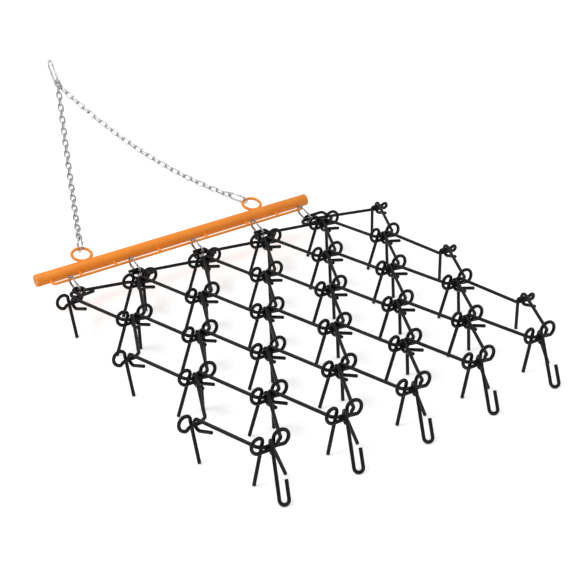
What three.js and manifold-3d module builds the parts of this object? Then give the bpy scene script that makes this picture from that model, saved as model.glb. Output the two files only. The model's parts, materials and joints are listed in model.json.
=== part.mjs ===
// Chain harrow: a pipe drawbar with a hook rail, a mat of bent tine wires, and a chain bridle to tow it by.
// Millimetres, +Z up, +Y towards the tractor, +X to the right. The ground is z = 0.
import * as THREE from 'three';
import { mergeVertices } from 'three/addons/utils/BufferGeometryUtils.js';
import Module from 'manifold-3d';

const wasm = await Module();
wasm.setup();

const quarterTurn = Math.PI / 2;
const halfTurn = Math.PI;
const fullTurn = 2 * Math.PI;

// Clearances
const runningGap = 0.4;
const weldGap = 0.3;
const cutOverrun = 30;

// Drawbar
const barLength = 1220;
const barDiameter = 48.3;
const barWall = 3.7;
const barEndPlate = 4;
const barDrain = 9;
const barHeight = 151.3;
const barSegments = 20;

// Mat
const wireDiameter = 12.7;
const nodePitchShare = 0.23115;
const matOffsetShare = 0.12541;
const rowPitch = 223;
const rowCount = 6;
const pinHeight = 128;
const knotRise = 16;
const knotReach = 44.5;
const edgeReach = 32;
const knotRadius = 24;
const knotDepth = 18.5;
const pinSpacing = 10.8;
const pinHalf = 20;
const eyeRadius = 20.3;
const eyeOffset = 10.4;
const eyeDrop = 0.7;
const eyeSet = 1.2;
const eyeTail = 66;
const wireSides = 5;

// Tines
const kneeHeight = 100;
const rightTineOut = -10;
const rightTineBack = 24;
const leftTineOut = 62;
const leftTineBack = 16;
const lastRightOut = 30;
const lastLeftOut = 44;
const edgeTineBack = 50;

// Hook rail
const railDiameter = 10.6;
const railSet = 54;
const railDrop = 4;
const railBeyond = 21;
const railCorner = 9;
const stubShares = [0.1855, 0.5247, 0.7827];
const railSides = 6;

// Spring snap hooks
const snapLength = 100;
const snapWidth = 47;
const towLength = 118;
const towWidth = 54;
const snapWire = 9;
const snapMouth = 40;
const gateWire = 7.2;
const snapSides = 6;
const gateSides = 8;

// Mat hooks along the rail, from the left, each given from the knot behind it, and the wires that they hold
const hookOffsets = [59, 30, 24, 22, -31];
const holdForward = 77;
const holdHeight = 134;
const holdSpacing = 13.6;
const bailHalf = 47;
const bailLeg = 20;
const bailCorner = 9;

// Hitch eyes
const hitchSpacingShare = 0.63443;
const hitchDiameter = 87;
const hitchWire = 12;
const hitchTilt = THREE.MathUtils.degToRad(12);

// Bridle
const chainWire = 7;
const chainPitch = 34.8;
const chainWidth = 27.6;
const chainShare = 1.3039;
const chainSagShare = 0.065;
const chainSides = 4;
const chainSteps = 6;
const bridleRise = THREE.MathUtils.degToRad(16.8);
const towRise = THREE.MathUtils.degToRad(50.4);
const towSplit = 5.5;
const towCross = 4.8;
const towSeat = 7.8;

// Tail hooks
const tailSlope = THREE.MathUtils.degToRad(48);
const tailSwing = THREE.MathUtils.degToRad(-22);
const tailWrap = THREE.MathUtils.degToRad(255);
const tailBend = 15;
const tailReturn = 62;

// Finishes
const matBlack = { color: 0x17181a, roughness: 0.55, metalness: 0.2 };
const barOrange = { color: 0xf08a24, roughness: 0.5, metalness: 0.0 };
const zinc = { color: 0xb9bdc2, roughness: 0.35, metalness: 0.9 };

const wireRadius = wireDiameter / 2;
const ringHeight = pinHeight + knotRise;
const nodePitch = barLength * nodePitchShare;
const hitchSpacing = barLength * hitchSpacingShare;

const group = new THREE.Group();

// A line of straight stretches, with a mitre where two of them meet.
class BentLine extends THREE.Curve {
  constructor(points) {
    super();
    this.points = points;
  }

  getPoint(t, target = new THREE.Vector3()) {
    const place = t * (this.points.length - 1);
    const start = Math.min(Math.floor(place), this.points.length - 2);
    return target.lerpVectors(this.points[start], this.points[start + 1], place - start);
  }

  getPointAt(u, target) {
    return this.getPoint(u, target);
  }

  getTangentAt(u, target = new THREE.Vector3()) {
    const last = this.points.length - 1;
    const here = Math.round(u * last);
    const before = this.points[Math.max(here - 1, 0)];
    const after = this.points[Math.min(here + 1, last)];
    const arrive = this.points[here].clone().sub(before).normalize();
    const leave = after.clone().sub(this.points[here]).normalize();
    return target.copy(arrive).add(leave).normalize();
  }
}

const at = (x, y, z) => new THREE.Vector3(x, y, z);

function solidOf(geometry) {
  geometry.deleteAttribute('normal');
  geometry.deleteAttribute('uv');
  const merged = mergeVertices(geometry);
  return new wasm.Manifold(new wasm.Mesh({
    numProp: 3,
    vertProperties: new Float32Array(merged.attributes.position.array),
    triVerts: new Uint32Array(merged.index.array),
  }));
}

function geometryOf(solid) {
  const mesh = solid.getMesh();
  const geometry = new THREE.BufferGeometry();
  geometry.setAttribute('position', new THREE.BufferAttribute(mesh.vertProperties, 3));
  geometry.setIndex(new THREE.BufferAttribute(mesh.triVerts, 1));
  geometry.computeVertexNormals();
  return geometry;
}

function addPiece(name, solid, finish, place = at(0, 0, 0)) {
  const mesh = new THREE.Mesh(geometryOf(solid), new THREE.MeshStandardMaterial(finish));
  mesh.name = name;
  mesh.position.copy(place);
  group.add(mesh);
  return mesh;
}

// A round wire along a list of places.
function wire(points, radius, sides) {
  const corners = [];
  for (let i = 0; i < sides; i += 1) {
    const angle = (fullTurn * i) / sides;
    corners.push(new THREE.Vector2(radius * Math.cos(angle), radius * Math.sin(angle)));
  }
  const section = new THREE.Shape(corners);
  const path = new BentLine(points);
  const geometry = new THREE.ExtrudeGeometry(section, {
    steps: points.length - 1,
    bevelEnabled: false,
    extrudePath: path,
  });
  return solidOf(geometry);
}

// Places on an arc, from angle start through sweep, in the plane of two unit vectors.
function arc(centre, along, across, radius, start, sweep, steps) {
  const places = [];
  for (let i = 0; i <= steps; i += 1) {
    const angle = start + (sweep * i) / steps;
    const place = centre.clone();
    place.addScaledVector(along, radius * Math.cos(angle));
    place.addScaledVector(across, radius * Math.sin(angle));
    places.push(place);
  }
  return places;
}

// The teardrop eye that starts a mat wire: a tail, most of a circle, and then the rod on its across side.
const eyeSteps = 6;
const tailGap = 0.8;
function eye(centre, along, across) {
  const tipAcross = eyeRadius - wireDiameter - tailGap;
  const tip = centre.clone().addScaledVector(along, eyeTail).addScaledVector(across, tipAcross);
  const toTip = Math.atan2(tipAcross, eyeTail);
  const touch = toTip - Math.acos(eyeRadius / Math.hypot(tipAcross, eyeTail));
  const sweep = -halfTurn - quarterTurn - touch;
  return [tip, ...arc(centre, along, across, eyeRadius, touch, sweep, eyeSteps)];
}

// Where a wire goes through the ring of its partner at a knot, and where its eye sits on the row before.
const entryBack = 16;
const entryDrop = 8;
const entryHeight = ringHeight - entryDrop;
const entryPlace = (side, reach) => at(-side * reach, entryBack, entryHeight);

// The eye of a wire from the row before, as seen from the knot that it ends in, nearly square to its pins.
const straightShare = 0.6;
function rowEye(side) {
  const centre = at(side * (eyeOffset - nodePitch / 2), rowPitch - eyeSet, pinHeight - eyeDrop);
  const along = entryPlace(side, knotReach).sub(centre).setZ(0).normalize();
  along.lerp(at(0, -1, 0), straightShare).normalize();
  return eye(centre, along, at(0, 0, 1));
}

// The run across a knot, the ring round the partner wire, and the tine down to the ground.
const ringSteps = 6;
const lapShare = 0.55;
const runDipShare = 0.45;
const singleRise = 5.2;
function knotEnd(side, reach, single, last = false) {
  const lap = single ? 0 : (side * pinSpacing) / 2;
  const ringFoot = ringHeight - knotRadius;
  const middle = single ? pinHeight + singleRise : pinHeight;
  const stations = [
    at(-side * pinHalf, lap * lapShare, middle + (single ? 0 : pinSpacing * runDipShare)),
    at(0, lap, middle),
    at(side * pinHalf, lap * lapShare, middle - (single ? knotRise / 4 : pinSpacing * runDipShare)),
  ];
  for (let i = 0; i <= ringSteps; i += 1) {
    const turn = (i / ringSteps) * (halfTurn + quarterTurn);
    const out = reach + knotRadius * Math.sin(turn);
    const depth = (knotDepth * i) / ringSteps;
    stations.push(at(side * out, depth, ringFoot + knotRadius * (1 - Math.cos(turn))));
  }
  return [...stations, ...(single ? edgeTine(reach - knotRadius) : tine(side, reach - knotRadius, last))];
}

// A tine that leans from below its ring to the ground, and runs on past it to be cut level.
function tine(side, inner, last) {
  const rightOut = last ? lastRightOut : rightTineOut;
  const leftOut = last ? lastLeftOut : leftTineOut;
  const out = side > 0 ? rightOut : leftOut;
  const back = side > 0 ? rightTineBack : leftTineBack;
  const knee = at(side * inner, knotDepth, side > 0 ? kneeHeight : ringHeight);
  const drop = at(side * out, -back, -knee.z);
  const tip = knee.clone().addScaledVector(drop, 1 + cutOverrun / ringHeight);
  return side > 0 ? [knee, tip] : [tip];
}

// The upright tine of a knot at the left edge.
function edgeTine(inner) {
  const drop = at(0, -edgeTineBack, -ringHeight);
  return [at(-inner, knotDepth, ringHeight).addScaledVector(drop, 1 + cutOverrun / ringHeight)];
}

// The entry of a wire to its knot, before the run.
const bendShare = 0.62;
function knotEntry(side, reach, height) {
  const bend = at(-side * reach * bendShare, entryBack / 6, entryHeight - runningGap);
  return [entryPlace(side, reach).setZ(height), bend];
}

// The end of a wire at the right edge: a hairpin that holds the next eye, and a tine bent down beside it.
const hairpinHalf = 20;
const hairpinReach = 24;
const hairpinRadius = 11;
const hairpinSteps = 4;
const hairpinGap = 2;
const hairpinLean = 6;
function hairpinEnd() {
  const half = (wireDiameter + runningGap) / 2;
  const middle = pinHeight - eyeDrop;
  const lower = middle - half;
  const upper = middle + half;
  const tineOut = -hairpinHalf - wireRadius - hairpinGap;
  const tineForward = wireDiameter + hairpinGap;
  const opening = Math.asin(half / hairpinRadius);
  const start = opening - halfTurn;
  const centre = at(hairpinReach, 0, middle);
  const bulb = arc(centre, at(1, 0, 0), at(0, 0, 1), hairpinRadius, start, -2 * start, hairpinSteps);
  return [
    at(-knotReach, entryBack / 3, lower + knotRise / 2),
    at(-hairpinHalf, 0, lower),
    ...bulb,
    at(-hairpinHalf, 0, upper),
    at(tineOut, wireRadius, upper),
    at(tineOut, tineForward, pinHeight),
    at(tineOut, tineForward - hairpinLean, -cutOverrun),
  ];
}

const mitreShare = 1.04;
const rod = (stations) => wire(stations, wireRadius * mitreShare, wireSides).trimByPlane([0, 0, 1], 0);

// Rows of knots. Odd rows reach both edges.
const lastPlace = 2 * rowCount - 4;
const matMiddle = barLength * matOffsetShare;
const nodePlace = (place) => matMiddle + ((place - lastPlace / 2) * nodePitch) / 2;
const hookPlaces = hookOffsets.map((offset, i) => nodePlace(2 * i - 1) + offset);
const rowPlace = (row) => -(row - 1) * rowPitch;
for (let row = 2; row <= rowCount; row += 1) {
  const inner = row % 2 === 0;
  const last = row === rowCount;
  const first = inner ? 0 : -1;
  for (let place = first; place <= lastPlace - first; place += 2) {
    const links = [];
    if (place >= 0) {
      const knot = [...knotEntry(1, knotReach, entryHeight), ...knotEnd(1, knotReach, false, last)];
      links.push(rod([...rowEye(1), ...(place > lastPlace ? hairpinEnd() : knot)]));
    }
    if (place <= lastPlace) {
      const reach = place < 0 ? edgeReach : knotReach;
      const knot = [...knotEntry(-1, knotReach, entryHeight), ...knotEnd(-1, reach, place < 0, last)];
      links.push(rod([...rowEye(-1), ...knot]));
    }
    const solid = links.length > 1 ? links[0].add(links[1]) : links[0];
    const spot = at(nodePlace(place), rowPlace(row), 0);
    addPiece(`mat_link_${row}_${(place - first) / 2 + 1}`, solid, matBlack, spot);
  }
}

// Front row. Each snap hook holds a bail wire above and the eye of a cross wire below.
const bailHeight = holdHeight + holdSpacing / 2;
const crossHeight = holdHeight - holdSpacing / 2;
const upward = new THREE.Vector3(0, 0, 1);

// A wire that starts with a flat eye held by the snap hook at hold, seen from the node it ends in.
function crossWire(hold, end) {
  const rim = hold.clone().add(at(-snapWire, 0, 0));
  const along = end[0].clone().sub(rim).setZ(0).normalize();
  const across = upward.clone().cross(along);
  const centre = rim.clone().addScaledVector(across, -eyeRadius);
  return rod([...eye(centre, along, across), ...end]);
}

// A bail through the snap hook, bent back at both ends. Its right leg is a mat wire of the first knot.
function bailWire() {
  const leg = knotReach - wireRadius / 2;
  const entry = knotEntry(-1, knotReach, bailHeight);
  const knot = knotEnd(-1, knotReach, false);
  return rod([
    at(-bailHalf, holdForward - bailLeg, bailHeight),
    at(-bailHalf, holdForward - bailCorner, bailHeight),
    at(-bailHalf + bailCorner, holdForward, bailHeight),
    at(leg - bailCorner, holdForward, bailHeight),
    at(leg, holdForward - bailCorner, bailHeight),
    ...entry,
    ...knot,
  ]);
}

const hold = (hook, place, height) => at(hookPlaces[hook] - nodePlace(place), holdForward, height);
for (let hook = 0; hook < hookPlaces.length; hook += 1) {
  const place = 2 * hook + 1;
  const atEdge = place > lastPlace;
  const knot = [...knotEntry(1, knotReach, entryHeight), ...knotEnd(1, knotReach, false)];
  const cross = crossWire(hold(hook, place, crossHeight), atEdge ? hairpinEnd() : knot);
  const solid = atEdge ? cross : cross.add(bailWire());
  addPiece(`front_link_${hook + 1}`, solid, matBlack, at(nodePlace(place), rowPlace(1), 0));
}

// The short wire at the left end of the front row, from the first snap hook to the edge knot.
function frontEdgeWire() {
  const nose = hold(0, -1, bailHeight);
  const entry = knotEntry(-1, knotReach, bailHeight);
  const along = entry[0].clone().sub(nose).setZ(0).normalize();
  const across = along.clone().cross(upward);
  const centre = nose.clone().addScaledVector(along, eyeRadius + runningGap);
  return rod([...eye(centre, along, across), ...entry, ...knotEnd(-1, edgeReach, true)]);
}
addPiece('front_edge_link', frontEdgeWire(), matBlack, at(nodePlace(-1), rowPlace(1), 0));

// Tail hooks, one on each knot of the last row: a wrap round the knot, a sloping shank, and a hook to the right.
const bendSteps = 4;
const wrapSteps = 6;
function tailHook() {
  const back = at(Math.sin(tailSwing), -Math.cos(tailSwing), 0);
  const up = at(0, 0, 1);
  const right = up.clone().cross(back);
  const centre = at(0, 0, pinHeight - eyeDrop);
  const leave = quarterTurn - tailSlope;
  const wrap = arc(centre, back, up, eyeRadius, leave + tailWrap, -tailWrap, wrapSteps);
  const along = back.clone().multiplyScalar(Math.cos(tailSlope)).addScaledVector(up, -Math.sin(tailSlope));
  const drop = wrap[wrapSteps].z - wireRadius - tailBend * Math.sin(tailSlope);
  const end = wrap[wrapSteps].clone().addScaledVector(along, drop / Math.sin(tailSlope));
  const turn = end.addScaledVector(right, tailBend);
  const bend = arc(turn, along, right, tailBend, -quarterTurn, halfTurn, bendSteps);
  const tip = bend[bendSteps].clone().addScaledVector(along, -tailReturn);
  return rod([...wrap, ...bend, tip]);
}
for (let place = 0; place <= lastPlace; place += 2) {
  const spot = at(nodePlace(place), rowPlace(rowCount), 0);
  addPiece(`tail_hook_${place / 2 + 1}`, tailHook(), matBlack, spot);
}

// Spring snap hooks. Their own frame: +X towards what the far bow holds, +Z the gate side.
const snapForm = (length, width) => ({ radius: (width - snapWire) / 2, half: (length - width) / 2 });
const plainForm = snapForm(snapLength, snapWidth);
const towForm = snapForm(towLength, towWidth);
const bowRadius = plainForm.radius;
const bowHalf = plainForm.half;
const bowInside = bowRadius - snapWire / 2;
const bowSteps = 8;
const snapAlong = at(1, 0, 0);
const snapAcross = at(0, 0, 1);
const bowSeat = (heldRadius) => bowHalf + bowInside - heldRadius - runningGap;

function snapBody(form) {
  const bow = (end, start) => arc(at(end, 0, 0), snapAlong, snapAcross, form.radius, start, -halfTurn, bowSteps);
  const far = bow(form.half, quarterTurn);
  const near = bow(-form.half, -quarterTurn);
  const hingeEnd = at(snapMouth / 2 + runningGap, 0, form.radius);
  const noseEnd = at(-snapMouth / 2 - runningGap, 0, form.radius);
  return wire([hingeEnd, ...far, ...near, noseEnd], snapWire / 2, snapSides);
}

// A gate: a rod with a rounded hinge end, along -X from its hinge.
function snapGate() {
  const radius = gateWire / 2;
  const corner = radius * Math.SQRT1_2;
  const profile = [
    new THREE.Vector2(0, -radius),
    new THREE.Vector2(corner, -corner),
    new THREE.Vector2(radius, 0),
    new THREE.Vector2(radius, snapMouth - radius),
    new THREE.Vector2(0, snapMouth - radius),
  ];
  const lathe = new THREE.LatheGeometry(profile, gateSides);
  return solidOf(lathe.rotateZ(quarterTurn));
}

// A snap hook and its gate, turned so that its length runs along heading and its gate faces gateSide.
function addSnap(name, middle, heading, gateSide, form = plainForm) {
  const side = gateSide.clone().addScaledVector(heading, -gateSide.dot(heading)).normalize();
  const frame = new THREE.Matrix4().makeBasis(heading, side.clone().cross(heading), side);
  const body = addPiece(`${name}_snap`, snapBody(form), zinc, middle);
  body.quaternion.setFromRotationMatrix(frame);
  const gate = addPiece(`${name}_gate`, snapGate(), zinc);
  gate.quaternion.copy(body.quaternion);
  const hinge = at(snapMouth / 2 - gateWire / 2, 0, form.radius);
  gate.position.copy(hinge.applyQuaternion(body.quaternion).add(middle));
}

// Rail snap hooks: the near bow rides on the rail, the far bow holds the front wires.
const railRadius = railDiameter / 2;
const railHalf = Math.max(...hookPlaces) + railBeyond;
const stubPlaces = stubShares.map((share) => share * railHalf);
const railHeight = barHeight - railDrop;
const snapReach = bowSeat(railRadius) + bowHalf;
const snapDip = Math.asin((railHeight - holdHeight) / snapReach);
const railForward = holdForward + snapReach * Math.cos(snapDip);
const barForward = railForward + railSet;
const snapHeading = at(0, -Math.cos(snapDip), -Math.sin(snapDip));
hookPlaces.forEach((place, i) => {
  const middle = at(place, holdForward, holdHeight).addScaledVector(snapHeading, -bowHalf);
  addSnap(`rail_${i + 1}`, middle, snapHeading, at(0, 0, 1));
});

// Drawbar: a pipe with end plates, each with a drain hole.
const barRadius = barDiameter / 2;
function drawbar() {
  const inner = barRadius - barWall;
  const half = barLength / 2;
  const profile = [
    new THREE.Vector2(barDrain / 2, -half),
    new THREE.Vector2(barRadius, -half),
    new THREE.Vector2(barRadius, half),
    new THREE.Vector2(barDrain / 2, half),
    new THREE.Vector2(barDrain / 2, half - barEndPlate),
    new THREE.Vector2(inner, half - barEndPlate),
    new THREE.Vector2(inner, -half + barEndPlate),
    new THREE.Vector2(barDrain / 2, -half + barEndPlate),
    new THREE.Vector2(barDrain / 2, -half),
  ];
  return solidOf(new THREE.LatheGeometry(profile, barSegments).rotateZ(quarterTurn));
}
addPiece('drawbar_tube', drawbar(), barOrange, at(0, barForward, barHeight));

// Hook rail: a rod bent into the drawbar at both ends, with stubs between.
const stubOverlap = 2;
function hookRail() {
  const weld = railSet - barRadius - weldGap;
  const half = railHalf - railRadius;
  const main = wire([
    at(-half, weld, 0),
    at(-half, railCorner, 0),
    at(-half + railCorner, 0, 0),
    at(half - railCorner, 0, 0),
    at(half, railCorner, 0),
    at(half, weld, 0),
  ], railRadius, railSides);
  const stubs = stubPlaces.flatMap((place) => [-place, place]);
  const stub = (place) => wire([at(place, -stubOverlap, 0), at(place, weld, 0)], railRadius, railSides);
  return stubs.reduce((rail, place) => rail.add(stub(place)), main);
}
addPiece('hook_rail', hookRail(), barOrange, at(0, railForward, railHeight));

// Hitch eyes, welded to the front of the drawbar and tilted up a little.
const hitchRadius = (hitchDiameter - hitchWire) / 2;
const hitchSteps = 16;
const hitchSides = 6;
const hitchOut = barRadius + weldGap + hitchDiameter / 2;
const hitchAlong = at(0, Math.cos(hitchTilt), Math.sin(hitchTilt));
const hitchCentre = (side) => at((side * hitchSpacing) / 2, barForward, barHeight)
  .addScaledVector(hitchAlong, hitchOut);
for (const side of [-1, 1]) {
  const ring = solidOf(new THREE.TorusGeometry(hitchRadius, hitchWire / 2, hitchSides, hitchSteps));
  const eyePiece = addPiece(`${side < 0 ? 'left' : 'right'}_hitch_eye`, ring, barOrange, hitchCentre(side));
  eyePiece.rotation.x = hitchTilt;
}

// Bridle. Each branch runs from its hitch eye, through an end snap hook and a chain, to the tow snap hook.
const chainLine = (chainWidth - chainWire) / 2;
const chainLinks = 2 * Math.round((hitchSpacing * chainShare / chainPitch - 1) / 2) + 1;
const chainReach = chainLinks * chainPitch + chainWire;
const chainChord = chainReach / (1 + (8 / 3) * chainSagShare ** 2);
const linkRadius = chainWire / 2 + runningGap;
const eyeHold = hitchWire / 2 + runningGap;
const branchReach = bowSeat(eyeHold) + bowSeat(linkRadius) + chainChord;
const seatTurn = Math.asin((hitchSpacing / 2 + towCross) / (branchReach + hitchRadius));
const hitchSeat = (side) => hitchCentre(side)
  .add(at(-side * hitchRadius * Math.sin(seatTurn), 0, 0))
  .addScaledVector(hitchAlong, hitchRadius * Math.cos(seatTurn));
const seatOut = hitchSeat(1).x + towCross;
const bridleReach = Math.sqrt(branchReach ** 2 - seatOut ** 2);
const bridleForward = at(0, Math.cos(bridleRise), Math.sin(bridleRise));
const bridleUp = at(0, -Math.sin(bridleRise), Math.cos(bridleRise));
const towHeading = at(0, Math.cos(towRise), Math.sin(towRise));
const towSide = at(0, -Math.sin(towRise), Math.cos(towRise));
const apex = hitchSeat(1).setX(0).addScaledVector(bridleForward, bridleReach);

// One chain link about its middle, its length along +X and its width along +Y.
function chainLink() {
  const link = new THREE.TorusGeometry(chainLine, linkRadius, chainSides, chainSteps);
  const stretch = (chainPitch + chainWire) / 2 - chainLine;
  const spots = link.attributes.position;
  for (let i = 0; i < spots.count; i += 1) {
    spots.setX(i, spots.getX(i) + Math.sign(spots.getX(i)) * stretch);
  }
  return link;
}

function chain(start, end, upright) {
  const hang = start.clone().lerp(end, 0.5).addScaledVector(at(0, 0, -2 * chainSagShare), chainChord);
  const route = new THREE.QuadraticBezierCurve3(start, hang, end);
  const reach = route.getLength();
  let whole;
  for (let i = 0; i < chainLinks; i += 1) {
    const share = ((i + 0.5) * chainPitch + chainWire / 2) / reach;
    const along = route.getTangentAt(share);
    const level = upright.clone().cross(along).normalize();
    const flat = i % 2 === 0 ? level : along.clone().cross(level);
    const frame = new THREE.Matrix4().makeBasis(along, flat, along.clone().cross(flat));
    frame.setPosition(route.getPointAt(share));
    const link = solidOf(chainLink().applyMatrix4(frame));
    whole = whole ? whole.add(link) : link;
  }
  return whole;
}

for (const side of [-1, 1]) {
  const name = side < 0 ? 'left' : 'right';
  const seat = hitchSeat(side);
  const end = apex.clone().add(at(-side * towCross, 0, 0)).addScaledVector(bridleUp, -side * towSplit);
  const heading = end.clone().sub(seat).normalize();
  heading.addScaledVector(upward, -4 * chainSagShare).normalize();
  const middle = seat.clone().addScaledVector(heading, bowSeat(eyeHold));
  addSnap(`${name}_end`, middle, heading, towSide);
  const start = middle.clone().addScaledVector(heading, bowSeat(linkRadius));
  addPiece(`${name}_chain`, chain(start, end, towSide), zinc);
}
const towMiddle = apex.clone().addScaledVector(towHeading, towForm.half + towSeat);
addSnap('tow', towMiddle, towHeading.clone().negate(), towSide, towForm);

// The origin is under the middle of the whole harrow, on the ground.
const bounds = new THREE.Box3().setFromObject(group);
const middlePlace = bounds.getCenter(new THREE.Vector3());
group.position.set(-middlePlace.x, -middlePlace.y, -bounds.min.z);

export default group;
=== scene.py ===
import json
import math
import bpy
from mathutils import Matrix, Vector


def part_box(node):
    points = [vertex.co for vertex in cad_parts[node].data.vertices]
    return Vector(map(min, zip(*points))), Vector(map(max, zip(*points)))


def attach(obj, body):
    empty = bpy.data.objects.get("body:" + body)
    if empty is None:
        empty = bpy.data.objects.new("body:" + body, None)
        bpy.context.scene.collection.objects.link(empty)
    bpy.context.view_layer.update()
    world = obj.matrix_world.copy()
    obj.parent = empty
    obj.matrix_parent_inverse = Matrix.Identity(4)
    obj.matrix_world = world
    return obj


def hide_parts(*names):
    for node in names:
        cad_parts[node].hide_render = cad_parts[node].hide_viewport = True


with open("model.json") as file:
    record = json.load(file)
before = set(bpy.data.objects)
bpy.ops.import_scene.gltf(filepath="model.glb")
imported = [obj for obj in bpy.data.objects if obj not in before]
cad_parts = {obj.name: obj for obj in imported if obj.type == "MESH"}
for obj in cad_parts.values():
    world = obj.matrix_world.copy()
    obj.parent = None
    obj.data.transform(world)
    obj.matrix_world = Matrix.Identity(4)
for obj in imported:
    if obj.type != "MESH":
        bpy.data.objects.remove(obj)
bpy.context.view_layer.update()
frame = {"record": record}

MM = 0.001
QUARTER = math.pi / 2
RIGHT = Vector((1, 0, 0))
UP = Vector((0, 0, 1))

# Sizes are in millimetres, in the harrow's own layout: X = 0 is the middle of the drawbar,
# Y = 0 the first row of knots and Z = 0 the ground. Y runs forward.
RUNNING_GAP, WELD_GAP = 0.4, 0.3
CUT_OVERRUN = 30

# Mat
WIRE = 12.7
WIRE_RADIUS = WIRE / 2
NODE_PITCH, ROW_PITCH, ROWS = 282, 223, 6
LAST_PLACE = 2 * ROWS - 4
MAT_OFFSET = 153
PIN_HEIGHT, RING_HEIGHT = 128, 144
KNOT_REACH, EDGE_REACH = 44.5, 32
KNOT_RADIUS, KNOT_DEPTH, KNOT_STEPS = 24, 18.5, 26

# The eye that starts a wire, and the wire's way in to its knot
EYE_RADIUS, EYE_OFFSET, EYE_DROP, EYE_SET, EYE_STEPS = 20.3, 10.4, 0.7, 1.2, 26
EYE_TAIL, TAIL_INSET = 66, 0.8
EYE_STRAIGHT_SHARE = 0.6
ENTRY_FORWARD, ENTRY_HEIGHT = 16, 136.0
BEND_OUT, BEND_FORWARD, BEND_HEIGHT = 28.5, 4.2, ENTRY_HEIGHT - RUNNING_GAP

# The run across a knot: two wires twist round each other, and a single wire lies a little higher
RUN_HALF, RUN_STEPS = 21, 8
TWIST_RADIUS, TWIST_TURN = 6.1, 1.02
SINGLE_HEIGHT, SINGLE_DROP = 133.2, 2.4

# How far each kind of tine leans to the right and forward on its way to the ground
KNEE_HEIGHT = 100
RIGHT_LEAN, LAST_RIGHT_LEAN = (-10, -24), (30, -24)
LEFT_LEAN, LAST_LEFT_LEAN = (-62, -16), (-44, -16)
EDGE_LEAN = (0, -50)

# The hairpin at the right edge, and the tine bent down beside it
HAIRPIN_HALF, HAIRPIN_REACH, HAIRPIN_RADIUS, HAIRPIN_STEPS = 20, 24, 11, 18
HAIRPIN_GAP, HAIRPIN_RISE, HAIRPIN_LEAN = 2, 4, 6
HAIRPIN_OUT, HAIRPIN_SINK, HAIRPIN_DROP = 1, 0.6, 4

# Front row: where the snap hooks stand along the rail, and the wires that they hold
HOOKS = (-493, -240, 36, 316, 545)
HOLD = Vector((0, 77, 134))
HOLD_SPACING = 13.6
BAIL_HEIGHT, CROSS_HEIGHT = HOLD.z + HOLD_SPACING / 2, HOLD.z - HOLD_SPACING / 2
BAIL_LEFT, BAIL_LEG, BAIL_CORNER = -47, 20, 9
SHORT_BAIL_LEFT, LONG_BAIL_PLACE = -10, 7
CORNER_EASE, CORNER_SHARE = 2, 0.3

# Tail hooks
TAIL_SWING, TAIL_SLOPE, TAIL_WRAP = math.radians(-22), math.radians(48), math.radians(255)
TAIL_BEND, TAIL_RETURN, TAIL_STEPS = 15, 62, 16

# Drawbar and hook rail
BAR_LENGTH, BAR_RADIUS, BAR_WALL = 1220, 24.15, 3.7
BAR_EDGE, BAR_CAP, DRAIN_RADIUS, BAR_SIDES = 0.8, 4, 4.5, 64
BAR_Y, BAR_Z = 191.352, 151.3
RAIL_Y, RAIL_Z, RAIL_RADIUS, RAIL_HALF = 137.352, 147.3, 5.3, 560.7
RAIL_CORNER, RAIL_GUARD, RAIL_STEP = 9, 10, 2
STUBS = (105, 297, 443)
STUB_OVERLAP, STUB_SHARE = 2, 0.98

# Weld beads: the ripples of a run, then the beads of the stubs, the end caps and the hitch eyes
RIPPLE_LOW, RIPPLE_RISE, RIPPLE_PITCH, BEAD_SIDES, BEAD_CHAMFER = 0.86, 0.2, 3, 8, 0.4
STUB_BEAD_REACH, STUB_BEAD, BEAD_STEPS, BEAD_LIFT = 6.4, 1.9, 15, 0.6
CAP_BEAD_SET, CAP_BEAD_SINK, CAP_BEAD, CAP_BEAD_STEPS = 1.9, 1.1, 1.4, 48
SEAM_HALF, SEAM_SPREAD, SEAM_TAPER, SEAM_BEAD = 17, 0.2, 0.05, 2.1

# Hitch eyes
HITCH_X, HITCH_TILT = 387, math.radians(12)
HITCH_RADIUS, HITCH_WIRE, HITCH_STEPS, HITCH_SIDES = 37.5, 12, 56, 16
HITCH_OUT = BAR_RADIUS + WELD_GAP + HITCH_RADIUS + HITCH_WIRE / 2

# Snap hooks. A form is the radius of the two bows, and how far their centres lie from the middle.
PLAIN_SNAP, TOW_SNAP = (19, 26.5), (22.5, 32)
BOW_RADIUS, BOW_HALF = PLAIN_SNAP
SNAP_WIRE, MOUTH, BOW_STEPS, ROD_SIDES, SNAP_CHAMFER = 9, 40, 20, 14, 1.2
BOW_INSIDE = BOW_RADIUS - SNAP_WIRE / 2
PIN_SIDES, PIN_CHAMFER = 12, 0.5
CATCH_BACK, CATCH_RISE, CATCH_RADIUS, CATCH_BEYOND = 2.6, 2.4, 1.5, 0.6
HINGE_RADIUS, HINGE_BEYOND = 1.4, 0.2
GATE_WIRE, GATE_WAIST_SHARE, GATE_COLLAR, GATE_HEAD, GATE_STEP = 7.2, 0.82, 4, 7, 1
GATE_CHAMFER, GATE_POINT = 0.6, 0.05
KNUCKLE_REACH_SHARE, KNUCKLE_SHARE = 0.8, 0.6

# Bridle. The sag is a share of the straight line between the ends of a chain.
RISE, TOW_RISE = math.radians(16.8), math.radians(50.4)
CHAIN_WIRE, CHAIN_PITCH, CHAIN_WIDTH, CHAIN_LINKS = 7, 34.8, 27.6, 29
CHAIN_SAG, ROUTE_STEPS = 0.065, 200
LINK_STEPS, LINK_SIDES, LINK_WELD_HALF, LINK_WELD_RISE = 9, 10, 1.5, 0.35
TOW_CROSS, TOW_SPLIT, TOW_SEAT = 4.8, 5.5, 7.8

# Where the layout's origin lies in the shared frame
bar_low, bar_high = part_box("drawbar_tube")
bar_middle = (Vector(bar_low) + Vector(bar_high)) / 2
ORIGIN = bar_middle - Vector((0, BAR_Y, BAR_Z)) * MM

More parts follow.
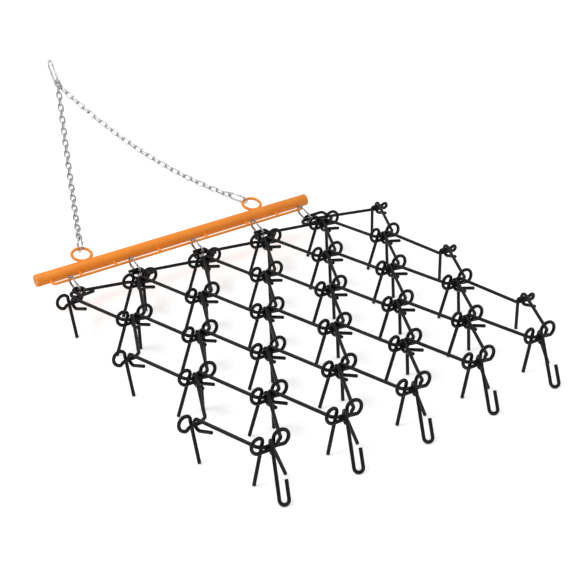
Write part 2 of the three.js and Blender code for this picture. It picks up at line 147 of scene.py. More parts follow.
body_of = {}
for body, nodes in frame["record"]["behaviour"]["bodies"].items():
    for node in nodes:
        body_of[node] = body


# Lines and meshes

def arc(centre, along, across, radius, start, sweep, steps):
    places = []
    for i in range(steps + 1):
        angle = start + sweep * i / steps
        places.append(centre + along * (radius * math.cos(angle)) + across * (radius * math.sin(angle)))
    return places


def corner(x, y, z, radius, inward, leg):
    """Three points round a bend at (x, y), from its leg along Y on. inward and leg are 1 or -1."""
    reach = radius + CORNER_EASE
    cut = radius * CORNER_SHARE
    return [
        Vector((x, y + leg * reach, z)),
        Vector((x + inward * cut, y + leg * cut, z)),
        Vector((x + inward * reach, y, z)),
    ]


# How many guards long a gap is when it gets a held point at each end, and when it is drawn in one piece
HELD_GUARDS, STRAIGHT_GUARDS = 2.6, 1.6
SMALLEST = 1e-6


def smooth(points, guard=14.0, step=3.4):
    """A flowing line through the points, straight where two of them lie far apart."""
    held = [points[0]]
    for a, b in zip(points, points[1:]):
        gap = (b - a).length
        if gap > HELD_GUARDS * guard:
            held.append(a.lerp(b, guard / gap))
            held.append(b.lerp(a, guard / gap))
        held.append(b)
    line = [held[0]]
    for i in range(len(held) - 1):
        p1, p2 = held[i], held[i + 1]
        p0 = held[i - 1] if i else p1 - (p2 - p1)
        p3 = held[i + 2] if i + 2 < len(held) else p2 + (p2 - p1)
        d0 = max((p1 - p0).length, SMALLEST)
        d1 = max((p2 - p1).length, SMALLEST)
        d2 = max((p3 - p2).length, SMALLEST)
        m1 = ((p1 - p0) / d0 - (p2 - p0) / (d0 + d1) + (p2 - p1) / d1) * d1
        m2 = ((p2 - p1) / d1 - (p3 - p1) / (d1 + d2) + (p3 - p2) / d2) * d1
        count = 1 if d1 > STRAIGHT_GUARDS * guard else max(1, math.ceil(d1 / step))
        for k in range(1, count + 1):
            t = k / count
            line.append(p1 * (2 * t**3 - 3 * t**2 + 1) + m1 * (t**3 - 2 * t**2 + t)
                        + p2 * (3 * t**2 - 2 * t**3) + m2 * (t**3 - t**2))
    return line


def ring_corners(place, normal, other, radius, sides, turn=0.0):
    corners = []
    for k in range(sides):
        angle = 2 * math.pi * k / sides + turn
        corners.append(place + normal * (radius * math.cos(angle)) + other * (radius * math.sin(angle)))
    return corners


def band(i, j, sides):
    """The faces between ring i and ring j."""
    faces = []
    for k in range(sides):
        n = (k + 1) % sides
        faces.append([i * sides + k, i * sides + n, j * sides + n, j * sides + k])
    return faces


def chamfered(spot, inward, chamfer):
    """The end of a rod as two rings, a narrow one at the end and a full one behind it."""
    place, tangent, radius, normal, turn = spot
    return [
        (place, tangent, radius - chamfer, normal, turn),
        (place + tangent * (inward * chamfer), tangent, radius, normal, turn),
    ]


class Mesh:
    """Collects vertices in layout millimetres, and faces that are smooth or flat."""

    def __init__(self):
        self.verts, self.faces, self.flat = [], [], []

    def add(self, verts, faces, flat):
        base = len(self.verts)
        self.verts += verts
        self.faces += [[base + i for i in face] for face in faces]
        self.flat += [k in flat for k in range(len(faces))]

    def tube(self, line, radius, sides=12, closed=False, chamfer=0.9):
        """A round rod along a line. radius is a number, or one number for each place."""
        count = len(line)
        radii = radius if isinstance(radius, list) else [radius] * count
        tangents = []
        for i in range(count):
            before = line[i - 1] if (i or closed) else line[i]
            after = line[(i + 1) % count] if (i + 1 < count or closed) else line[i]
            tangents.append((after - before).normalized())
        normals = [tangents[0].orthogonal().normalized()]
        for before, tangent in zip(tangents, tangents[1:]):
            side = before.rotation_difference(tangent) @ normals[-1]
            normals.append((side - tangent * side.dot(tangent)).normalized())
        twist = 0.0
        if closed:
            back = tangents[-1].rotation_difference(tangents[0]) @ normals[-1]
            twist = math.atan2(back.cross(normals[0]).dot(tangents[0]), back.dot(normals[0]))
        spots = [(line[i], tangents[i], radii[i], normals[i], twist * i / count) for i in range(count)]
        if not closed:
            start, end = chamfered(spots[0], 1, chamfer), chamfered(spots[-1], -1, chamfer)
            spots = start + spots[1:-1] + end[::-1]
        verts, faces, flat = [], [], set()
        for place, tangent, size, normal, turn in spots:
            verts += ring_corners(place, normal, tangent.cross(normal), size, sides, turn)
        total = len(spots)
        for i in range(total if closed else total - 1):
            faces += band(i, (i + 1) % total, sides)
        if not closed:
            flat = {len(faces), len(faces) + 1}
            faces.append(list(reversed(range(sides))))
            faces.append([(total - 1) * sides + k for k in range(sides)])
        self.add(verts, faces, flat)

    def lathe(self, profile, start, axis, sides, flat_rows):
        """A turned form: profile holds (distance along the axis, radius)."""
        normal = axis.orthogonal().normalized()
        other = axis.cross(normal)
        verts, faces, flat = [], [], set()
        for along, radius in profile:
            verts += ring_corners(start + axis * along, normal, other, radius, sides)
        for i in range(len(profile) - 1):
            if i in flat_rows:
                flat.update(range(len(faces), len(faces) + sides))
            faces += band(i, i + 1, sides)
        self.add(verts, faces, flat)

    def make(self, name, material, slot, body, *nodes):
        mesh = bpy.data.meshes.new(name)
        mesh.from_pydata([ORIGIN + v * MM for v in self.verts], [], self.faces)
        for polygon, flat in zip(mesh.polygons, self.flat):
            polygon.use_smooth = not flat
        mesh.materials.append(material)
        mesh.update()
        piece = bpy.data.objects.new(name, mesh)
        bpy.context.scene.collection.objects.link(piece)
        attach(piece, body)
        if nodes:
            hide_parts(*nodes)


# Materials

# Sockets of the mix node when it mixes colours
MIX_FACTOR, MIX_A, MIX_B, MIX_RESULT = 0, 6, 7, 2


class Nodes:
    """Builds a material's nodes from short calls."""

    def __init__(self, name):
        self.material = bpy.data.materials.new(name)
        self.material.use_nodes = True
        self.tree = self.material.node_tree
        self.tree.nodes.clear()
        self.out = self.tree.nodes.new("ShaderNodeOutputMaterial")
        self.place = self.tree.nodes.new("ShaderNodeTexCoord").outputs["Object"]

    def node(self, kind, inputs=None, **settings):
        made = self.tree.nodes.new(kind)
        for key, value in settings.items():
            setattr(made, key, value)
        for key, value in (inputs or {}).items():
            if isinstance(value, bpy.types.NodeSocket):
                self.tree.links.new(value, made.inputs[key])
            else:
                made.inputs[key].default_value = value
        return made

    def noise(self, scale, detail, roughness=0.55):
        """Scale is the number of patches in a metre, or nearly so."""
        inputs = {"Vector": self.place, "Scale": scale, "Detail": detail, "Roughness": roughness}
        return self.node("ShaderNodeTexNoise", inputs).outputs["Fac"]

    def ramp(self, value, *stops):
        """Two stops, each (place, colour or grey)."""
        made = self.node("ShaderNodeValToRGB", {"Fac": value})
        for element, (place, colour) in zip(made.color_ramp.elements, stops):
            element.position = place
            element.color = (*colour, 1) if isinstance(colour, tuple) else (colour, colour, colour, 1)
        return made.outputs["Color"]

    def mix(self, factor, base, colour):
        inputs = {MIX_FACTOR: factor, MIX_A: base, MIX_B: (*colour, 1)}
        return self.node("ShaderNodeMix", inputs, data_type="RGBA").outputs[MIX_RESULT]

    def bump(self, height, strength, distance, normal=None):
        inputs = {"Height": height, "Strength": strength, "Distance": distance}
        if normal is not None:
            inputs["Normal"] = normal
        return self.node("ShaderNodeBump", inputs).outputs["Normal"]

    def finish(self, **inputs):
        shader = self.node("ShaderNodeBsdfPrincipled", {k.replace("_", " "): v for k, v in inputs.items()})
        self.tree.links.new(shader.outputs[0], self.out.inputs["Surface"])
        return self.material


def black_paint():
    n = Nodes("satin_black_paint")
    dark, light, dust = (0.002, 0.002, 0.0022), (0.004, 0.004, 0.0043), (0.014, 0.0137, 0.0133)
    base = n.ramp(n.noise(scale=9, detail=3), (0.3, dark), (0.7, light))
    dusty = n.mix(n.ramp(n.noise(scale=60, detail=5), (0.5, 0.0), (0.8, 0.3)), base, dust)
    rough = n.ramp(n.noise(scale=38, detail=4), (0.3, 0.36), (0.7, 0.52))
    drips = n.bump(n.noise(scale=110, detail=2), strength=0.12, distance=0.0012)
    fine = n.noise(scale=420, detail=5, roughness=0.6)
    grain = n.bump(fine, strength=0.25, distance=0.0003, normal=drips)
    return n.finish(Base_Color=dusty, Roughness=rough, Specular_IOR_Level=0.22, Normal=grain)


def orange_coat():
    n = Nodes("orange_powder_coat")
    deep, bright, speck = (0.90, 0.262, 0.018), (0.96, 0.31, 0.026), (0.66, 0.15, 0.008)
    base = n.ramp(n.noise(scale=14, detail=3), (0.3, deep), (0.7, bright))
    speckled = n.mix(n.ramp(n.noise(scale=900, detail=3), (0.42, 0.3), (0.6, 0.0)), base, speck)
    rough = n.ramp(n.noise(scale=60, detail=4), (0.3, 0.42), (0.7, 0.56))
    peel = n.bump(n.noise(scale=330, detail=2), strength=0.32, distance=0.0008)
    grain = n.bump(n.noise(scale=1100, detail=3), strength=0.2, distance=0.0002, normal=peel)
    return n.finish(Base_Color=speckled, Roughness=rough, Specular_IOR_Level=0.3, Normal=grain)


def zinc_plate(name, low, high):
    """Zinc between two greys, both faintly blue."""
    n = Nodes(name)
    low_blue, high_blue = low * 1.03, high * 1.02
    base = n.ramp(n.noise(scale=80, detail=4), (0.3, (low, low, low_blue)), (0.7, (high, high, high_blue)))
    rough = n.ramp(n.noise(scale=240, detail=4), (0.3, 0.22), (0.7, 0.4))
    grain = n.bump(n.noise(scale=700, detail=4), strength=0.18, distance=0.0003)
    return n.finish(Base_Color=base, Metallic=1.0, Roughness=rough, Normal=grain)


BLACK, ORANGE = black_paint(), orange_coat()
ZINC = zinc_plate("zinc_plate", low=0.43, high=0.60)
# A darker copy of the same zinc: painted shade for the snap hooks that hang in the shade of the rail.
PAINTED_SHADE_ZINC = zinc_plate("zinc_with_painted_shade", low=0.2, high=0.36)


# Mat wires

def level_heading(start, end):
    heading = end - start
    heading.z = 0
    return heading.normalized()


def eye(centre, along, across):
    """The teardrop eye that starts a wire. The wire leaves on the across side."""
    tip_across = EYE_RADIUS - WIRE - TAIL_INSET
    tip = centre + along * EYE_TAIL + across * tip_across
    to_tip = math.atan2(tip_across, EYE_TAIL)
    touch = to_tip - math.acos(EYE_RADIUS / math.hypot(tip_across, EYE_TAIL))
    return [tip] + arc(centre, along, across, EYE_RADIUS, touch, -math.pi - QUARTER - touch, EYE_STEPS)


def entry(side, height=ENTRY_HEIGHT):
    """A wire's way in to its knot, down to the bend before the run."""
    return [
        Vector((-side * KNOT_REACH, ENTRY_FORWARD, height)),
        Vector((-side * BEND_OUT, BEND_FORWARD, BEND_HEIGHT)),
    ]


def row_eye(side):
    """The eye of a wire from the row before, as seen from the knot that it ends in."""
    centre = Vector((side * (EYE_OFFSET - NODE_PITCH / 2), ROW_PITCH - EYE_SET, PIN_HEIGHT - EYE_DROP))
    heading = level_heading(centre, entry(side)[0])
    along = heading.lerp(Vector((0, -1, 0)), EYE_STRAIGHT_SHARE).normalized()
    return eye(centre, along, UP)


def run_across(side, single):
    run = []
    for i in range(RUN_STEPS + 1):
        x = -RUN_HALF + 2 * RUN_HALF * i / RUN_STEPS
        if single:
            run.append(Vector((side * x, 0, SINGLE_HEIGHT - SINGLE_DROP * max(0.0, x) / RUN_HALF)))
        else:
            turn = -x / RUN_HALF * TWIST_TURN
            run.append(Vector((side * x, side * TWIST_RADIUS * math.cos(turn),
                               PIN_HEIGHT + TWIST_RADIUS * math.sin(turn))))
    return run


def knot_ring(side, reach):
    """Three quarters of a turn round the partner wire."""
    foot = RING_HEIGHT - KNOT_RADIUS
    ring = []
    for i in range(1, KNOT_STEPS + 1):
        turn = 3 * QUARTER * i / KNOT_STEPS
        ring.append(Vector((side * (reach + KNOT_RADIUS * math.sin(turn)), KNOT_DEPTH * i / KNOT_STEPS,
                            foot + KNOT_RADIUS * (1 - math.cos(turn)))))
    return ring


def knot(side, reach=KNOT_REACH, single=False, last=False):
    """The run across a knot, the ring round the partner wire, and the tine."""
    line = run_across(side, single) + knot_ring(side, reach)
    if side > 0:
        knee = Vector((reach - KNOT_RADIUS, KNOT_DEPTH, KNEE_HEIGHT))
        lean = LAST_RIGHT_LEAN if last else RIGHT_LEAN
        return line + [knee, knee + Vector((*lean, -knee.z))]
    lean = LAST_LEFT_LEAN if last else LEFT_LEAN
    if single:
        lean = EDGE_LEAN
    top = line[-1]
    return line + [top + Vector((*lean, -top.z))]


def hairpin():
    """The end of a wire at the right edge, which holds the next eye, and the tine beside it."""
    half = (WIRE + RUNNING_GAP) / 2
    middle = PIN_HEIGHT - EYE_DROP
    out = -HAIRPIN_HALF - WIRE_RADIUS - HAIRPIN_GAP
    forward = WIRE + HAIRPIN_GAP
    opening = math.asin(half / HAIRPIN_RADIUS)
    centre = Vector((HAIRPIN_REACH, 0, middle))
    bulb = arc(centre, RIGHT, UP, HAIRPIN_RADIUS, opening - math.pi, 2 * (math.pi - opening), HAIRPIN_STEPS)
    lean = HAIRPIN_LEAN * (PIN_HEIGHT - HAIRPIN_DROP) / (PIN_HEIGHT + CUT_OVERRUN)
    return [
        Vector((-KNOT_REACH, ENTRY_FORWARD / 3, middle - half + HAIRPIN_RISE)),
        Vector((-HAIRPIN_HALF, 0, middle - half)),
        *bulb,
        Vector((-HAIRPIN_HALF, 0, middle + half)),
        Vector((out, WIRE_RADIUS + HAIRPIN_OUT, middle + half - HAIRPIN_SINK)),
        Vector((out, forward, PIN_HEIGHT - HAIRPIN_DROP)),
        Vector((out, forward - lean, 0)),
    ]


def knot_spot(place, row):
    x = MAT_OFFSET + (place - LAST_PLACE / 2) * NODE_PITCH / 2
    return Vector((x, -(row - 1) * ROW_PITCH, 0))


def lay(mesh, points, spot):
    """Lays a wire at a knot and cuts it on the ground."""
    line = [p + spot for p in smooth(points)]
    foot = line.pop()
    while line[-1].z < WIRE_RADIUS:
        line.pop()
    last = line[-1]
    tilt = (last - foot).normalized()
    floor_z = foot.z + WIRE_RADIUS * math.sqrt(max(0.0, 1 - tilt.z ** 2))
    line.append(last.lerp(foot, (last.z - floor_z) / (last.z - foot.z)))
    mesh.tube(line, WIRE_RADIUS)


def wires(name, spot, *paths):
    mesh = Mesh()
    for path in paths:
        lay(mesh, path, spot)
    mesh.make(name + "_wire", BLACK, "mat_black", body_of[name], name)


def right_end(place, last=False):
    """How a wire that runs to the right ends: in a knot, or in a hairpin at the edge."""
    return hairpin() if place > LAST_PLACE else entry(1) + knot(1, last=last)


for row in range(2, ROWS + 1):
    first = 0 if row % 2 == 0 else -1
    last_row = row == ROWS
    for place in range(first, LAST_PLACE + 1 - first, 2):
        paths = []
        if place >= 0:
            paths.append(row_eye(1) + right_end(place, last_row))
        if place <= LAST_PLACE:
            edge = place < 0
            reach = EDGE_REACH if edge else KNOT_REACH
            paths.append(row_eye(-1) + entry(-1) + knot(-1, reach, edge, last_row))
        wires("mat_link_%d_%d" % (row, (place - first) // 2 + 1), knot_spot(place, row), *paths)


# Front row: cross wires below and bails above, held by the snap hooks

def held_by(hook, place, height):
    """Where a snap hook holds a wire, as seen from the knot that the wire ends in."""
    return Vector((hook - knot_spot(place, 1).x, HOLD.y, height))


def cross_wire(hook, place):
    end = right_end(place)
    rim = held_by(hook, place, CROSS_HEIGHT) - RIGHT * SNAP_WIRE
    along = level_heading(rim, end[0])
    across = UP.cross(along)
    return eye(rim - across * EYE_RADIUS, along, across) + end


def bail(place):
    """A bail and its knot. The photo shows the left leg of the rightmost one alone."""
    start = [Vector((SHORT_BAIL_LEFT, HOLD.y, BAIL_HEIGHT))]
    if place >= LONG_BAIL_PLACE:
        start = [Vector((BAIL_LEFT, HOLD.y - BAIL_LEG, BAIL_HEIGHT))]
        start += corner(BAIL_LEFT, HOLD.y, BAIL_HEIGHT, BAIL_CORNER, 1, -1)
    right_leg = corner(KNOT_REACH - WIRE / 4, HOLD.y, BAIL_HEIGHT, BAIL_CORNER, -1, -1)
    return start + right_leg[::-1] + entry(-1, BAIL_HEIGHT) + knot(-1)


for i, hook in enumerate(HOOKS):
    place = 2 * i + 1
    paths = [cross_wire(hook, place)]
    if place <= LAST_PLACE:
        paths.append(bail(place))
    wires("front_link_%d" % (i + 1), knot_spot(place, 1), *paths)


def front_edge():
    """The wire from the first snap hook to the knot at the left edge."""
    nose = held_by(HOOKS[0], -1, BAIL_HEIGHT)
    end = entry(-1, BAIL_HEIGHT)
    along = level_heading(nose, end[0])
    start = eye(nose + along * (EYE_RADIUS + RUNNING_GAP), along, along.cross(UP))
    return start + end + knot(-1, EDGE_REACH, True)


wires("front_edge_link", knot_spot(-1, 1), front_edge())


# Tail hooks, one on each knot of the last row

def tail_hook():
    """The wrap round a knot, the sloping shank, and the hook to the right."""
    back = Vector((math.sin(TAIL_SWING), -math.cos(TAIL_SWING), 0))
    centre = Vector((0, 0, PIN_HEIGHT - EYE_DROP))
    wrap = arc(centre, back, UP, EYE_RADIUS, QUARTER - TAIL_SLOPE + TAIL_WRAP, -TAIL_WRAP, EYE_STEPS)
    down = back * math.cos(TAIL_SLOPE) - UP * math.sin(TAIL_SLOPE)
    right = UP.cross(back)
    drop = wrap[-1].z - WIRE_RADIUS - TAIL_BEND * math.sin(TAIL_SLOPE)
    turn = wrap[-1] + down * (drop / math.sin(TAIL_SLOPE)) + right * TAIL_BEND
    bend = arc(turn, down, right, TAIL_BEND, -QUARTER, math.pi, TAIL_STEPS)
    return smooth(wrap + bend + [bend[-1] - down * TAIL_RETURN])


for i in range(LAST_PLACE // 2 + 1):
    name = "tail_hook_%d" % (i + 1)
    spot = knot_spot(2 * i, ROWS)
    mesh = Mesh()
    mesh.tube([p + spot for p in tail_hook()], WIRE_RADIUS)
    mesh.make(name + "_wire", BLACK, "mat_black", body_of[name], name)


# Snap hooks

def turned(middle, heading, side):
    """A matrix from a snap hook's own frame, X along its length and Z towards its gate."""
    side = (side - heading * side.dot(heading)).normalized()
    matrix = Matrix((heading, side.cross(heading), side)).transposed().to_4x4()
    matrix.translation = middle
    return matrix


def pin(mesh, matrix, x, z, radius, half):
    """A pin through a snap hook, along the hook's own Y."""
    start = matrix @ Vector((x, -half, z))
    axis = (matrix.to_3x3() @ Vector((0, 1, 0))).normalized()
    mesh.tube([start, start + axis * (2 * half)], radius, PIN_SIDES, chamfer=PIN_CHAMFER)


def gate_profile(radius):
    """A gate from its hinge to its tip: a rounded knuckle, a collar, a waist and a head."""
    waist = radius * GATE_WAIST_SHARE
    tip = MOUTH - radius
    return [
        (-radius, GATE_POINT),
        (-radius * KNUCKLE_REACH_SHARE, radius * KNUCKLE_SHARE),
        (0, radius),
        (GATE_COLLAR, radius),
        (GATE_COLLAR + GATE_STEP, waist),
        (tip - GATE_HEAD - GATE_STEP, waist),
        (tip - GATE_HEAD, radius),
        (tip - GATE_CHAMFER, radius),
        (tip, radius - GATE_CHAMFER),
        (tip, GATE_POINT),
    ]


def snap(name, middle, heading, side, form=PLAIN_SNAP, finish=ZINC):
    """A snap hook, and the gate that closes its mouth. side is the direction of the mouth."""
    bow, stretch = form
    matrix = turned(middle, heading, side)
    far = arc(RIGHT * stretch, RIGHT, UP, bow, QUARTER, -math.pi, BOW_STEPS)
    near = arc(RIGHT * -stretch, RIGHT, UP, bow, -QUARTER, -math.pi, BOW_STEPS)
    end = MOUTH / 2 + RUNNING_GAP
    line = [Vector((end, 0, bow))] + far + near + [Vector((-end, 0, bow))]
    mesh = Mesh()
    mesh.tube([matrix @ p for p in line], SNAP_WIRE / 2, ROD_SIDES, chamfer=SNAP_CHAMFER)
    pin(mesh, matrix, -MOUTH / 2 - CATCH_BACK, bow + CATCH_RISE, CATCH_RADIUS, SNAP_WIRE / 2 + CATCH_BEYOND)
    mesh.make(name + "_snap_body", finish, "zinc", body_of[name + "_snap"], name + "_snap")
    gate = Mesh()
    radius = GATE_WIRE / 2
    hinge_x = MOUTH / 2 - radius
    axis = (matrix.to_3x3() @ -RIGHT).normalized()
    profile = gate_profile(radius)
    tip_row = len(profile) - 2
    gate.lathe(profile, matrix @ Vector((hinge_x, 0, bow)), axis, ROD_SIDES, (tip_row,))
    pin(gate, matrix, hinge_x, bow, HINGE_RADIUS, SNAP_WIRE / 2 + HINGE_BEYOND)
    gate.make(name + "_gate_body", finish, "zinc", body_of[name + "_gate"], name + "_gate")


def bow_seat(held):
    """How far a held rod of this radius lies from a snap hook's middle, in its bow."""
    return BOW_HALF + BOW_INSIDE - held - RUNNING_GAP


snap_dip = math.asin((RAIL_Z - HOLD.z) / (BOW_HALF + bow_seat(RAIL_RADIUS)))
snap_heading = Vector((0, -math.cos(snap_dip), -math.sin(snap_dip)))
for i, hook in enumerate(HOOKS):
    middle = Vector((hook, HOLD.y, HOLD.z)) - snap_heading * BOW_HALF
    # The rail's snap hooks take the darker zinc, which is painted shade.
    snap("rail_%d" % (i + 1), middle, snap_heading, UP, finish=PAINTED_SHADE_ZINC)


# Drawbar

bar_centre = Vector((0, BAR_Y, BAR_Z))
bar_half = BAR_LENGTH / 2
bar_rim, bar_inner = BAR_RADIUS - BAR_EDGE, BAR_RADIUS - BAR_WALL
bar_profile = [
    (-bar_half, DRAIN_RADIUS), (-bar_half, bar_rim), (-bar_half + BAR_EDGE, BAR_RADIUS),
    (bar_half - BAR_EDGE, BAR_RADIUS), (bar_half, bar_rim), (bar_half, DRAIN_RADIUS),
    (bar_half - BAR_CAP, DRAIN_RADIUS), (bar_half - BAR_CAP, bar_inner),
    (-bar_half + BAR_CAP, bar_inner), (-bar_half + BAR_CAP, DRAIN_RADIUS), (-bar_half, DRAIN_RADIUS),
]
bar_end_rows = (0, 4)
bar = Mesh()
bar.lathe(bar_profile, bar_centre, RIGHT, BAR_SIDES, bar_end_rows)
bar.make("drawbar_pipe", ORANGE, "drawbar_orange", "drawbar", "drawbar_tube")

# Hook rail, with its stubs
rail = Mesh()
weld_y = BAR_Y - BAR_RADIUS - WELD_GAP
rail_end = [Vector((-RAIL_HALF, weld_y, RAIL_Z))] + corner(-RAIL_HALF, RAIL_Y, RAIL_Z, RAIL_CORNER, 1, 1)
other_end = [Vector((-p.x, p.y, p.z)) for p in reversed(rail_end)]
rail.tube(smooth(rail_end + other_end, RAIL_GUARD, RAIL_STEP), RAIL_RADIUS, ROD_SIDES)
for stub in STUBS:
    for x in (-stub, stub):
        stub_line = [Vector((x, RAIL_Y - STUB_OVERLAP, RAIL_Z)), Vector((x, weld_y, RAIL_Z))]
        rail.tube(stub_line, RAIL_RADIUS * STUB_SHARE, ROD_SIDES)
rail.make("hook_rail_rod", ORANGE, "drawbar_orange", "drawbar", "hook_rail")


# Weld beads

def weld(mesh, places, radius, closed=False):
    """A weld bead with the ripples of its run."""
    sizes = []
    for i in range(len(places)):
        rise = RIPPLE_RISE if i % RIPPLE_PITCH == 0 else 0
        sizes.append(radius * (RIPPLE_LOW + rise))
    mesh.tube(places, sizes, BEAD_SIDES, closed, BEAD_CHAMFER)


def stub_bead(x):
    """A ring round a rod of the rail, on the back of the drawbar."""
    ring = []
    for i in range(BEAD_STEPS):
        angle = 2 * math.pi * i / BEAD_STEPS
        z = RAIL_Z + STUB_BEAD_REACH * math.sin(angle)
        y = BAR_Y - math.sqrt(BAR_RADIUS**2 - (z - BAR_Z)**2) - BEAD_LIFT
        ring.append(Vector((x + STUB_BEAD_REACH * math.cos(angle), y, z)))
    return ring


def cap_bead(side):
    """A ring round an end of the drawbar."""
    x = side * (bar_half - CAP_BEAD_SET)
    radius = BAR_RADIUS - CAP_BEAD_SINK
    ring = []
    for i in range(CAP_BEAD_STEPS):
        angle = 2 * math.pi * i / CAP_BEAD_STEPS
        ring.append(bar_centre + Vector((x, radius * math.cos(angle), radius * math.sin(angle))))
    return ring


def hitch_seam(side, edge):
    """The seam above or below a hitch eye, where it meets the drawbar."""
    middle = (BEAD_STEPS - 1) / 2
    seam = []
    for i in range(BEAD_STEPS):
        off_middle = (i - middle) / middle
        angle = HITCH_TILT + edge * (SEAM_SPREAD - SEAM_TAPER * abs(off_middle))
        outward = Vector((0, math.cos(angle), math.sin(angle)))
        seam.append(bar_centre + outward * (BAR_RADIUS + BEAD_LIFT)
                    + RIGHT * (side * HITCH_X + SEAM_HALF * off_middle))
    return seam


beads = Mesh()
for x in [-RAIL_HALF, RAIL_HALF] + [side * stub for stub in STUBS for side in (-1, 1)]:
    weld(beads, stub_bead(x), STUB_BEAD, True)
for side in (-1, 1):
    weld(beads, cap_bead(side), CAP_BEAD, True)
    for edge in (-1, 1):
        weld(beads, hitch_seam(side, edge), SEAM_BEAD)
beads.make("weld_beads", ORANGE, "drawbar_orange", "drawbar")

# Hitch eyes
hitch_along = Vector((0, math.cos(HITCH_TILT), math.sin(HITCH_TILT)))


def hitch_centre(side):
    return bar_centre + RIGHT * (side * HITCH_X) + hitch_along * HITCH_OUT


for side, name in ((-1, "left"), (1, "right")):
    mesh = Mesh()
    ring = arc(hitch_centre(side), RIGHT, hitch_along, HITCH_RADIUS, 0, 2 * math.pi, HITCH_STEPS)
    mesh.tube(ring[:-1], HITCH_WIRE / 2, HITCH_SIDES, True)
    mesh.make(name + "_hitch_ring", ORANGE, "drawbar_orange", "drawbar", name + "_hitch_eye")

# Bridle. A slack chain is 1 + 8/3 of its squared sag share times as long as its chord,
# and its ends slope by 4 sag shares against the chord.
chain_hold = CHAIN_WIRE / 2 + RUNNING_GAP
hitch_hold = HITCH_WIRE / 2 + RUNNING_GAP
chord = (CHAIN_LINKS * CHAIN_PITCH + CHAIN_WIRE) / (1 + 8 / 3 * CHAIN_SAG**2)
branch_reach = bow_seat(hitch_hold) + bow_seat(chain_hold) + chord
seat_turn = math.asin((HITCH_X + TOW_CROSS) / (branch_reach + HITCH_RADIUS))


def hitch_seat(side):
    """Where a branch of the bridle bears on its hitch eye, in the middle of the eye's wire."""
    across = RIGHT * (-side * HITCH_RADIUS * math.sin(seat_turn))
    return hitch_centre(side) + across + hitch_along * (HITCH_RADIUS * math.cos(seat_turn))


forward = Vector((0, math.cos(RISE), math.sin(RISE)))
upward = Vector((0, -math.sin(RISE), math.cos(RISE)))
tow_heading = Vector((0, math.cos(TOW_RISE), math.sin(TOW_RISE)))
tow_side = Vector((0, -math.sin(TOW_RISE), math.cos(TOW_RISE)))
seat_out = hitch_seat(1).x + TOW_CROSS
seat_level = Vector((0, hitch_seat(1).y, hitch_seat(1).z))
apex = seat_level + forward * math.sqrt(branch_reach**2 - seat_out**2)


def chain_link(mesh, place, along, flat):
    """One link, with the weld in the middle of one of its sides."""
    round_radius = (CHAIN_WIDTH - CHAIN_WIRE) / 2
    straight = (CHAIN_PITCH + CHAIN_WIRE) / 2 - round_radius
    line = arc(place + along * straight, flat, along, round_radius, 0, math.pi, LINK_STEPS)
    weld_at = len(line)
    weld_middle = place - flat * round_radius
    line += [weld_middle + along * LINK_WELD_HALF, weld_middle - along * LINK_WELD_HALF]
    line += arc(place - along * straight, flat, along, round_radius, math.pi, math.pi, LINK_STEPS)
    sizes = [CHAIN_WIRE / 2] * len(line)
    sizes[weld_at] = sizes[weld_at + 1] = CHAIN_WIRE / 2 + LINK_WELD_RISE
    mesh.tube(line, sizes, LINK_SIDES, True)


def chain(mesh, start, end):
    """Links along a slack line, each turned a quarter from the last."""
    hang = start.lerp(end, 0.5) - UP * (2 * CHAIN_SAG * chord)

    def route(t):
        return start * (1 - t)**2 + hang * (2 * t * (1 - t)) + end * t**2

    places = [route(i / ROUTE_STEPS) for i in range(ROUTE_STEPS + 1)]
    lengths = [0.0]
    for a, b in zip(places, places[1:]):
        lengths.append(lengths[-1] + (b - a).length)
    for i in range(CHAIN_LINKS):
        target = (i + 0.5) * CHAIN_PITCH + CHAIN_WIRE / 2
        k = max(j for j in range(ROUTE_STEPS) if lengths[j] <= target)
        t = (k + (target - lengths[k]) / (lengths[k + 1] - lengths[k])) / ROUTE_STEPS
        along = ((hang - start) * (1 - t) + (end - hang) * t).normalized()
        level = tow_side.cross(along).normalized()
        chain_link(mesh, route(t), along, level if i % 2 == 0 else along.cross(level))


for side, name in ((-1, "left"), (1, "right")):
    seat = hitch_seat(side)
    end = apex - RIGHT * (side * TOW_CROSS) - upward * (side * TOW_SPLIT)
    heading = ((end - seat).normalized() - UP * (4 * CHAIN_SAG)).normalized()
    middle = seat + heading * bow_seat(hitch_hold)
    snap(name + "_end", middle, heading, tow_side)
    mesh = Mesh()
    chain(mesh, middle + heading * bow_seat(chain_hold), end)
    mesh.make(name + "_chain_links", ZINC, "zinc", body_of[name + "_chain"], name + "_chain")

tow_stretch = TOW_SNAP[1]
snap("tow", apex + tow_heading * (tow_stretch + TOW_SEAT), -tow_heading, tow_side, TOW_SNAP)


# Floor and world, in metres

FLOOR_SIZE, FLOOR_GREY, FLOOR_GLOW = 60, 0.8, 0.42
WORLD_STRENGTH = 0.62


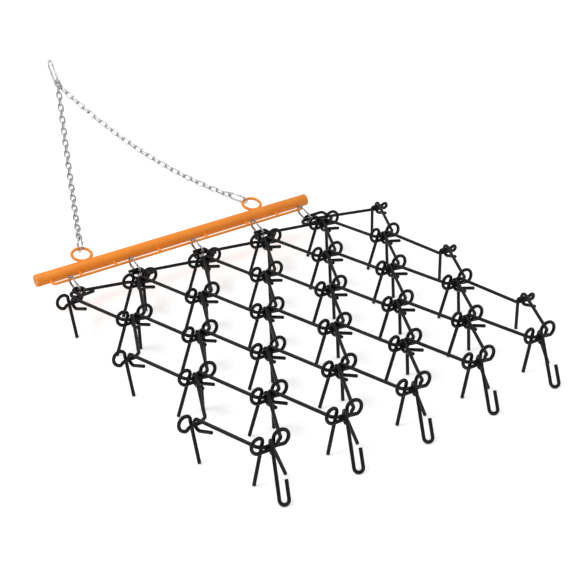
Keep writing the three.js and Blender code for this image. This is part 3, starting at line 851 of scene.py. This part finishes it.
def floor_material():
    """A pale floor that glows where the camera sees it, straight or in a gloss."""
    n = Nodes("studio_floor")
    rays = n.node("ShaderNodeLightPath")
    seen = rays.outputs["Is Camera Ray"]
    for ray in ("Is Glossy Ray", "Is Transmission Ray"):
        seen = n.node("ShaderNodeMath", {0: seen, 1: rays.outputs[ray]}, operation="MAXIMUM").outputs[0]
    diffuse = n.node("ShaderNodeBsdfDiffuse", {"Color": (FLOOR_GREY, FLOOR_GREY, FLOOR_GREY, 1)})
    strength = n.node("ShaderNodeMath", {0: seen, 1: FLOOR_GLOW}, operation="MULTIPLY")
    glow = n.node("ShaderNodeEmission", {"Color": (1, 1, 1, 1), "Strength": strength.outputs[0]})
    both = n.node("ShaderNodeAddShader", {0: diffuse.outputs[0], 1: glow.outputs[0]})
    n.tree.links.new(both.outputs[0], n.out.inputs["Surface"])
    return n.material


bpy.ops.mesh.primitive_plane_add(size=FLOOR_SIZE, location=(0, 0, 0))
floor = bpy.context.object
floor.name = "floor"
floor.data.materials.append(floor_material())

world = bpy.data.worlds.new("studio")
bpy.context.scene.world = world
world.use_nodes = True
background = world.node_tree.nodes["Background"]
background.inputs["Color"].default_value = (1, 1, 1, 1)
background.inputs["Strength"].default_value = WORLD_STRENGTH


# Lamps, in metres and watts

def lamp(name, place, size, power):
    """A round lamp that shines on the frame's origin."""
    data = bpy.data.lights.new(name, "AREA")
    data.shape = "DISK"
    data.size = size
    data.energy = power
    light = bpy.data.objects.new(name, data)
    bpy.context.scene.collection.objects.link(light)
    light.location = place
    light.rotation_euler = (-Vector(place)).to_track_quat("-Z", "Y").to_euler()


lamp("key", place=(-2.6, 0.6, 4.6), size=2.6, power=120)
lamp("fill", place=(3.4, -2.6, 3.4), size=3.0, power=40)

# Camera, with its place in the harrow's layout
SENSOR, LENS, CLIP_END = 36, 80.336, 100
AZIMUTH, ELEVATION = math.radians(-33.749), math.radians(30.587)
CAMERA_PLACE = Vector((-2129.6, -3780.2, 2572.5))

camera_data = bpy.data.cameras.new("camera")
camera = bpy.data.objects.new("camera", camera_data)
bpy.context.scene.collection.objects.link(camera)
bpy.context.scene.camera = camera
camera_data.sensor_width = SENSOR
camera_data.lens = LENS
camera_data.clip_end = CLIP_END
look_back = Vector((math.sin(AZIMUTH) * math.cos(ELEVATION), -math.cos(AZIMUTH) * math.cos(ELEVATION),
                    math.sin(ELEVATION)))
camera.location = ORIGIN + CAMERA_PLACE * MM
camera.rotation_euler = look_back.to_track_quat("Z", "Y").to_euler()

scene = bpy.context.scene
scene.view_settings.view_transform = "Standard"
